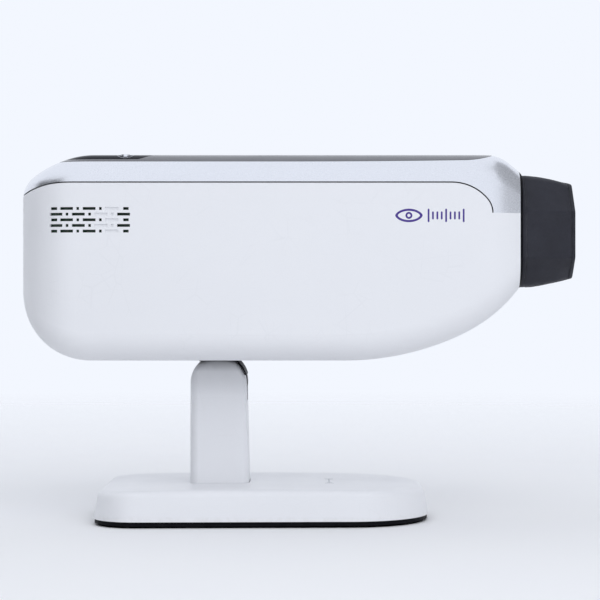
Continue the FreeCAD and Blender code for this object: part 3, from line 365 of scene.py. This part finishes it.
def circle(r, count=32):
    return [(r * math.cos(a), r * math.sin(a)) for a in angles(count)]


def rounded_rectangle(x0, x1, y0, y1, r, steps=5):
    centres = ((x1 - r, y1 - r), (x0 + r, y1 - r), (x0 + r, y0 + r), (x1 - r, y0 + r))
    points = []
    for quarter, (cx, cy) in enumerate(centres):
        for k in range(steps + 1):
            a = math.radians(90 * quarter + 90 * k / steps)
            points.append((cx + r * math.cos(a), cy + r * math.sin(a)))
    return points


def almond(half, high, count=24):
    """Eye outline: two arcs that meet in corners."""
    upper = [(half * math.cos(math.pi * k / count), high * math.sin(math.pi * k / count) ** 1.25)
             for k in range(count)]
    return upper + [(-x, -y) for x, y in upper]


def bridge(bm, rows):
    """Joins closed rows of vertices, each to the next, with four-sided faces."""
    made = []
    for a, b in zip(rows, rows[1:]):
        for i in range(len(a)):
            j = (i + 1) % len(a)
            made.append(bm.faces.new((a[i], a[j], b[j], b[i])))
    return made


def flat_ring(bm, outer, inner):
    """Flat band between two outlines that have the same number of points."""
    bridge(bm, [[bm.verts.new((x, y, 0)) for x, y in line] for line in (outer, inner)])


def flat_patch(bm, outline):
    bm.faces.new([bm.verts.new((x, y, 0)) for x, y in outline])


INK_HEIGHT = 0.03 * MM        # how far a print stands off its surface
INK_DEPTH = 1.6 * INK_HEIGHT  # how thick it is, so that it sinks into the surface
PROBE = 20 * MM               # where the search for the surface starts


def print_on(name, bm, node, origin, right, up, material, body, grid=2.0):
    """Lays a flat print, drawn in millimetres, on a node's surface, and gives it the ink's thickness."""
    out = Vector(right).cross(Vector(up)).normalized()
    turn = Matrix((Vector(right).normalized(), Vector(up).normalized(), out)).transposed().to_4x4()
    bm.transform(Matrix.Translation(origin) @ turn @ Matrix.Scale(MM, 4))
    bmesh.ops.triangulate(bm, faces=bm.faces)
    long_edges = [e for e in bm.edges if e.calc_length() > grid * MM]
    while long_edges:
        bmesh.ops.subdivide_edges(bm, edges=long_edges, cuts=1)
        bmesh.ops.triangulate(bm, faces=[f for f in bm.faces if len(f.verts) > 3])
        long_edges = [e for e in bm.edges if e.calc_length() > grid * MM]
    surface = BVHTree.FromObject(nodes[node], bpy.context.evaluated_depsgraph_get())
    for v in bm.verts:
        hit = surface.ray_cast(v.co + out * PROBE, -out)[0]
        v.co = (hit or v.co) + out * INK_HEIGHT
    lid = list(bm.faces)
    copy = bmesh.ops.extrude_face_region(bm, geom=lid)
    for v in (g for g in copy["geom"] if isinstance(g, bmesh.types.BMVert)):
        v.co -= out * INK_DEPTH
    return add_piece(name, bm, material, body, False)


def broken_box(bm, low, high, edge, material=0):
    """Box with its edges broken by a small bevel."""
    part = bmesh.ops.create_cube(bm, size=1)["verts"]
    low, high = Vector(low), Vector(high)
    for v in part:
        v.co = low + Vector([(v.co[i] + 0.5) * (high[i] - low[i]) for i in range(3)])
    sides = {e for v in part for e in v.link_edges}
    made = bmesh.ops.bevel(bm, geom=list(sides), offset=edge, segments=2, affect="EDGES", profile=0.6)
    for f in set(made["faces"]) | {f for v in part if v.is_valid for f in v.link_faces}:
        f.material_index = material


def separate_boxes(node):
    """The box round each separate solid of a node."""
    bm = bmesh.new()
    bm.from_mesh(nodes[node].data)
    bmesh.ops.remove_doubles(bm, verts=bm.verts, dist=1e-6)
    bm.verts.ensure_lookup_table()
    seen, boxes = set(), []
    for first in bm.verts:
        if first in seen:
            continue
        todo, points = [first], []
        seen.add(first)
        while todo:
            v = todo.pop()
            points.append(v.co.copy())
            for other in (e.other_vert(v) for e in v.link_edges):
                if other not in seen:
                    seen.add(other)
                    todo.append(other)
        boxes.append(tuple(Vector([pick(p[i] for p in points) for i in range(3)]) for pick in (min, max)))
    bm.free()
    return boxes


# ---------------------------------------------------------------- soft pieces

def make_face_seal():
    """Moulded silicone lip round the hood's rim: the node's form with its edges melted round."""
    bm = bmesh.new()
    bm.from_mesh(nodes["face_seal"].data)
    lip = add_piece("face_seal_lip", bm, MATERIALS["seal_rubber"], "head")
    melt = lip.modifiers.new("melt", "REMESH")
    melt.mode = "VOXEL"
    melt.voxel_size = 0.8 * MM
    relax = lip.modifiers.new("relax", "SMOOTH")
    relax.factor = 0.5
    relax.iterations = 5
    bake_modifiers(lip)
    for p in lip.data.polygons:
        p.use_smooth = True
    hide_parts("face_seal")


def make_foot_sheet():
    """Rubber sheet under the base, with rounded edges and two grip channels in its underside."""
    source = bmesh.new()
    source.from_mesh(nodes["anti_slip_pad"].data)
    low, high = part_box("anti_slip_pad")
    bmesh.ops.remove_doubles(source, verts=source.verts, dist=1e-6)
    rim = [v.co.copy() for v in source.verts if v.co.z > high.z - 1e-6]
    source.free()
    middle = Vector(((low.x + high.x) / 2, 0, 0))
    rim.sort(key=lambda p: math.atan2(p.y - middle.y, p.x - middle.x))

    def inset(points, d):
        """Each point moved in along the outline's own normal."""
        moved = []
        for i, p in enumerate(points):
            along = (points[(i + 1) % len(points)] - points[i - 1]).normalized()
            moved.append(p + Vector((-along.y, along.x, 0)) * d)
        return moved

    bm = bmesh.new()
    edge, corner = 0.5 * MM, 0.15 * MM
    groove, deep, flare = 2.2 * MM, 0.9 * MM, 0.2 * MM
    profile = [(edge, high.z), (corner, high.z - corner), (0, high.z - edge), (0, low.z + edge),
               (corner, low.z + corner), (edge, low.z)]
    for start in (6 * MM, 11 * MM):
        end = start + groove
        profile += [(start, low.z), (start + flare, low.z + deep), (end - flare, low.z + deep), (end, low.z)]
    rows = [[bm.verts.new((p.x, p.y, z)) for p in inset(rim, d)] for d, z in profile]
    bridge(bm, rows)
    bm.faces.new(rows[0])
    bm.faces.new(rows[-1])
    sheet = add_piece("foot_sheet", bm, MATERIALS["base_rubber"], "base", False)
    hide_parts("anti_slip_pad")


# ---------------------------------------------------------------- printed signs

def make_side_marks():
    """Generic printed sign on each side of the head: an eye and a row of measuring strokes."""
    strokes, first, pitch, half_wide, tall_half, short_half = 9, 18.6, 4.15, 0.85, 6.4, 3.8
    below_top = 31 * MM
    for name, node, right, behind_front in (("side_mark_right", "right_side_shell", 1, 107 * MM),
                                            ("side_mark_left", "left_side_shell", -1, 53 * MM)):
        low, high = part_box(node)
        bm = bmesh.new()
        flat_ring(bm, almond(13, 6.4), almond(10.4, 4.3))
        flat_ring(bm, circle(3.3), circle(1.5))
        for k in range(strokes):
            half = tall_half if k % 4 == 0 else short_half
            x = first + pitch * k
            flat_patch(bm, rounded_rectangle(x - half_wide, x + half_wide, -half, half, 0.8))
        place = (high.x - behind_front, low.y if right > 0 else high.y, high.z - below_top)
        print_on(name, bm, node, place, (right, 0, 0), UP, INDIGO, "head")


def make_base_mark():
    """Small pale sign on the base's top: a double arrow between two strokes, for the tilt."""
    low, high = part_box("base_cover")
    stroke_half, stroke_at, line_half, shaft_half = 4.6, 26, 1, 15
    head_half, head_from, head_tip = 4.2, 14.5, 22
    bm = bmesh.new()
    for y in (-stroke_at, stroke_at):
        flat_patch(bm, rounded_rectangle(-stroke_half, stroke_half, y - line_half, y + line_half, 0.9))
    flat_patch(bm, rounded_rectangle(-line_half, line_half, -shaft_half, shaft_half, 0.9))
    for end in (-1, 1):
        back, side = head_from * end, head_half * end
        flat_patch(bm, [(side, back), (0, head_tip * end), (-side, back)])
    ahead_of_middle = 65.5 * MM
    place = ((low.x + high.x) / 2 + ahead_of_middle, 0, high.z)
    print_on("base_mark", bm, "base_cover", place, ALONG, ACROSS, GREY, "base")


def make_screen_print():
    """The touch screen's display window, with its thin border, and a ring round the start button."""
    glass_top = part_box("touch_screen")[1].z
    low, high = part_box("display_module")
    place = ((low.x + high.x) / 2, 0, glass_top)
    module_rim, grid = 2, 4.0
    half_x, half_y = (high.x - low.x) / 2 / MM - module_rim, (high.y - low.y) / 2 / MM - module_rim

    def window(grow, r):
        return rounded_rectangle(-half_x - grow, half_x + grow, -half_y - grow, half_y + grow, r)

    bm = bmesh.new()
    flat_patch(bm, window(0, 2.5))
    print_on("display_window", bm, "touch_screen", place, ALONG, ACROSS, DISPLAY_OFF, "head", grid)
    bm = bmesh.new()
    flat_ring(bm, window(0.9, 3.2), window(0.4, 2.8))
    print_on("display_border", bm, "touch_screen", place, ALONG, ACROSS, GREY, "head", grid)
    low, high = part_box("start_button")
    place = ((low.x + high.x) / 2, (low.y + high.y) / 2, glass_top)
    inner, outer, count = 7.2, 7.7, 48
    bm = bmesh.new()
    flat_ring(bm, circle(outer, count), circle(inner, count))
    print_on("button_ring", bm, "touch_screen", place, ALONG, ACROSS, GREY, "head")


def make_rocker_marks():
    """A stroke and a ring on the power rocker's two faces."""
    low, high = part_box("power_rocker")
    middle = (low + high) / 2
    quarter = (high.z - low.z) / 4
    for name, dz in (("rocker_stroke", quarter), ("rocker_ring", -quarter)):
        bm = bmesh.new()
        if dz > 0:
            flat_patch(bm, rounded_rectangle(-0.4, 0.4, -1.9, 1.9, 0.3))
        else:
            flat_ring(bm, circle(1.9), circle(1.3))
        place = (low.x, middle.y, middle.z + dz)
        print_on(name, bm, "power_rocker", place, (0, -1, 0), UP, PALE, "power_rocker", 0.8)


# ---------------------------------------------------------------- hardware and electronics

CARD = 1.6 * MM               # thickness of a circuit board


def socket_screw(bm, place, axis, head_r, head_h, shank_r, length):
    """Cap screw with a hexagonal socket. place is under its head, and axis points out of the head."""
    corner, socket_r = math.radians(60), 0.42 * head_r
    part = bmesh.new()

    def row(radius_at, z):
        return [part.verts.new((radius_at(a) * math.cos(a), radius_at(a) * math.sin(a), z))
                for a in angles(24)]

    def hexagon(a):
        return socket_r * math.cos(corner / 2) / math.cos(a % corner - corner / 2)

    profile = [(shank_r * 0.7, -length), (shank_r, 0.3 * shank_r - length), (shank_r, 0), (head_r * 0.95, 0),
               (head_r, 0.12 * head_h), (head_r, 0.78 * head_h), (head_r * 0.93, head_h)]
    rows = [row(lambda a, r=r: r, z) for r, z in profile]
    rows += [row(hexagon, head_h), row(hexagon, 0.3 * head_h)]
    bridge(part, rows)
    part.faces.new(rows[0])
    part.faces.new(rows[-1])
    part.transform(Matrix.Translation(place) @ Vector(axis).to_track_quat("Z", "Y").to_matrix().to_4x4())
    loose = bpy.data.meshes.new("one_screw")
    part.to_mesh(loose)
    part.free()
    bm.from_mesh(loose)
    bpy.data.meshes.remove(loose)


def make_screws():
    """Socket screws in the places of the design's plain ones."""
    forward, down = Vector((1, 0, 0)), Vector((0, 0, -1))
    for node, body, axis, head_h in (("front_screws", "head", forward, 2.2 * MM),
                                     ("shell_screws", "head", down, 1.6 * MM),
                                     ("base_screws", "base", down, 1.8 * MM)):
        bm = bmesh.new()
        k = 0 if axis.x else 2
        for low, high in separate_boxes(node):
            place = (low + high) / 2
            place[k] = high[k] - head_h if axis[k] > 0 else low[k] + head_h
            head_r = (high.y - low.y) / 2
            socket_screw(bm, place, axis, head_r, head_h, head_r * 0.5, high[k] - low[k] - head_h)
        made = add_piece(node[:-1] + "_set", bm, MATERIALS["screw_steel"], body, False)
        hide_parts(node)


def make_main_board():
    """Populated circuit board behind the cooling slots: card, small parts, finned heat sink, sockets."""
    low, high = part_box("main_board")
    card = low.y + CARD
    green, black, bare = 0, 1, 2
    dice = random.Random(7)
    bm = bmesh.new()
    broken_box(bm, low, (high.x, card, high.z), 0.2 * MM, green)
    sizes = ((1.6, 3.2), (3.2, 1.6), (4.8, 4.8), (2.4, 1.2))
    columns, lines, pitch_x, pitch_z, edge = 11, 12, 7.4, 8, 0.12 * MM
    for column in range(columns):
        for line in range(lines):
            wide, tall = dice.choice(sizes)
            thick, kind, skip = dice.uniform(0.7, 1.6), dice.choice((black, black, bare)), dice.random() < 0.3
            x, z = low.x + (5 + pitch_x * column) * MM, low.z + (6 + pitch_z * line) * MM
            if not skip:
                far = (x + wide * MM, card + thick * MM, z + tall * MM)
                broken_box(bm, (x, card, z), far, edge, kind)
    sink = Vector((low.x + 18 * MM, card, low.z + 36 * MM))
    sole, tall, fins, fin, pitch, edge = 2.2, 36, 9, 1.2 * MM, 3.4, 0.2 * MM
    broken_box(bm, sink, sink + Vector((30, sole, tall)) * MM, edge, bare)
    for k in range(fins):
        foot = sink + Vector((pitch * k + 0.4, sole, 0)) * MM
        broken_box(bm, foot, (foot.x + fin, high.y, foot.z + tall * MM), edge, bare)
    for x, z, wide, tall in ((24, 8, 50, 7), (78, 12, 7, 30)):
        place = Vector((low.x + x * MM, card, low.z + z * MM))
        broken_box(bm, place, place + Vector((wide, 8, tall)) * MM, 0.4 * MM, black)
    board = add_piece("main_board_assembly", bm, MATERIALS["board_green"], "head", False)
    board.data.materials.append(MATERIALS["black_plastic"])
    board.data.materials.append(MATERIALS["aluminium"])
    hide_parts("main_board")


def circle_across_x(bm, x, r, centre, count):
    """Circle of vertices round a line along X that passes through centre."""
    return [bm.verts.new((x, centre.y + r * math.cos(a), centre.z + r * math.sin(a))) for a in angles(count)]


def make_lamp_rings():
    """Ring of clear lamps on a black board round each eyepiece."""
    dome_r, lamps, lamp_circle, chamfer = 1.2 * MM, 8, 17.6 * MM, 0.2 * MM
    dome_shape = [(1.0, 0.0), (1.0, 0.45), (0.92, 0.68), (0.7, 0.88), (0.38, 0.98)]
    for side in ("right", "left"):
        low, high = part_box(f"{side}_lamp_ring")
        middle, back = (low + high) / 2, low.x
        front = back + CARD
        outer = (high.y - low.y) / 2
        inner = outer - 4.3 * MM
        bm = bmesh.new()
        profile = [(inner, back), (outer - chamfer, back), (outer, back + chamfer), (outer, front - chamfer),
                   (outer - chamfer, front), (inner + chamfer, front), (inner, front - chamfer)]
        rows = [circle_across_x(bm, x, r, middle, 48) for r, x in profile]
        bridge(bm, rows + rows[:1])
        foot = front - 0.1 * MM
        tall = high.x - foot
        for k in range(lamps):
            a = 2 * math.pi * (k + 0.5) / lamps
            centre = middle + Vector((0, math.cos(a), math.sin(a))) * lamp_circle
            rows = [circle_across_x(bm, foot + tall * t, dome_r * w, centre, 12) for w, t in dome_shape]
            made = bridge(bm, rows) + [bm.faces.new(rows[0]), bm.faces.new(rows[-1])]
            for f in made:
                f.material_index = 1
        ring = add_piece(f"{side}_lamp_ring_assembly", bm, BLACK_BOARD, f"{side}_eye_optics", False)
        ring.data.materials.append(LAMP_DOME)
        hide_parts(f"{side}_lamp_ring")


# ---------------------------------------------------------------- floor, light, camera

def plane(name, size, place, aim, material):
    """Flat rectangle that faces aim, outside the object."""
    x, y = size[0] / 2, size[1] / 2
    bm = bmesh.new()
    flat_patch(bm, ((-x, -y), (x, -y), (x, y), (-x, y)))
    mesh = bpy.data.meshes.new(name)
    bm.to_mesh(mesh)
    bm.free()
    mesh.materials.append(material)
    obj = bpy.data.objects.new(name, mesh)
    obj.location = place
    obj.rotation_euler = (Vector(aim) - Vector(place)).to_track_quat("Z", "Y").to_euler()
    bpy.context.scene.collection.objects.link(obj)
    return obj


def make_stage():
    """A pale floor that fades into the surroundings, and two grey panels that the object's ends reflect."""
    s = Shade("studio_floor", (0.87, 0.87, 0.875), 0.8)
    s.tint(s.ramp(s.noise(6, 3), 0.4, 0.7), (0.865, 0.865, 0.875))
    distance = s.node("ShaderNodeVectorMath", operation="LENGTH")
    s.link(s.place, distance.inputs[0])
    s.link(s.ramp(distance.outputs["Value"], 0.7, 2.6, 1.0, 0.0), s.bsdf.inputs["Alpha"])
    plane("studio_floor", (6, 6), (0, 0, 0), (0, 0, 1), s.mat)
    for name, grey, size, place, aim in (
            ("rear_panel", 0.08, (1.6, 1.2), (-1.3, -0.45, 0.4), (-0.2, 0, 0.25)),
            ("front_panel", 0.4, (2.0, 2.4), (1.25, -0.35, 1.5), (0, -0.35, 1.5))):
        cloth = Shade(name, (grey,) * 3, 0.9)
        cloth.tint(cloth.ramp(cloth.noise(40, 3), 0.4, 0.7), (1.1 * grey,) * 3)
        plane(name, size, place, aim, cloth.mat).visible_camera = False


def area_light(name, place, aim, size, watts, colour):
    """Soft light that doesn't show in reflections, so that the silver paint isn't blown out."""
    data = bpy.data.lights.new(name, "AREA")
    data.shape = "RECTANGLE"
    data.size, data.size_y = size
    data.energy = watts
    data.color = colour
    lamp = bpy.data.objects.new(name, data)
    lamp.location = place
    lamp.rotation_euler = (Vector(aim) - Vector(place)).to_track_quat("-Z", "Y").to_euler()
    lamp.visible_glossy = False
    bpy.context.scene.collection.objects.link(lamp)


def make_light():
    """Even pale surroundings and one large soft light from the camera's side."""
    world = bpy.data.worlds.new("studio")
    world.use_nodes = True
    sky = world.node_tree.nodes["Background"]
    sky.inputs["Color"].default_value = (0.896, 0.93, 1.0, 1)
    sky.inputs["Strength"].default_value = 1.0
    bpy.context.scene.world = world
    area_light("key", (0.7, -2.3, 2.3), (0, 0, 0.2), (2.6, 2.2), 32, (0.97, 0.98, 1.0))


def make_camera():
    """Level camera square to the object's right side."""
    across, away, up = 39.5 * MM, 1.9, 216.4 * MM
    data = bpy.data.cameras.new("camera")
    data.lens = 114
    data.sensor_width = 36
    camera = bpy.data.objects.new("camera", data)
    camera.location = (across, -away, up)
    camera.rotation_euler = (math.radians(90), 0, 0)
    bpy.context.scene.collection.objects.link(camera)
    bpy.context.scene.camera = camera


dress_cad_nodes()
make_face_seal()
make_foot_sheet()
make_side_marks()
make_base_mark()
make_screen_print()
make_rocker_marks()
make_screws()
make_main_board()
make_lamp_rings()
make_stage()
make_light()
make_camera()
bpy.context.scene.view_settings.view_transform = "Standard"
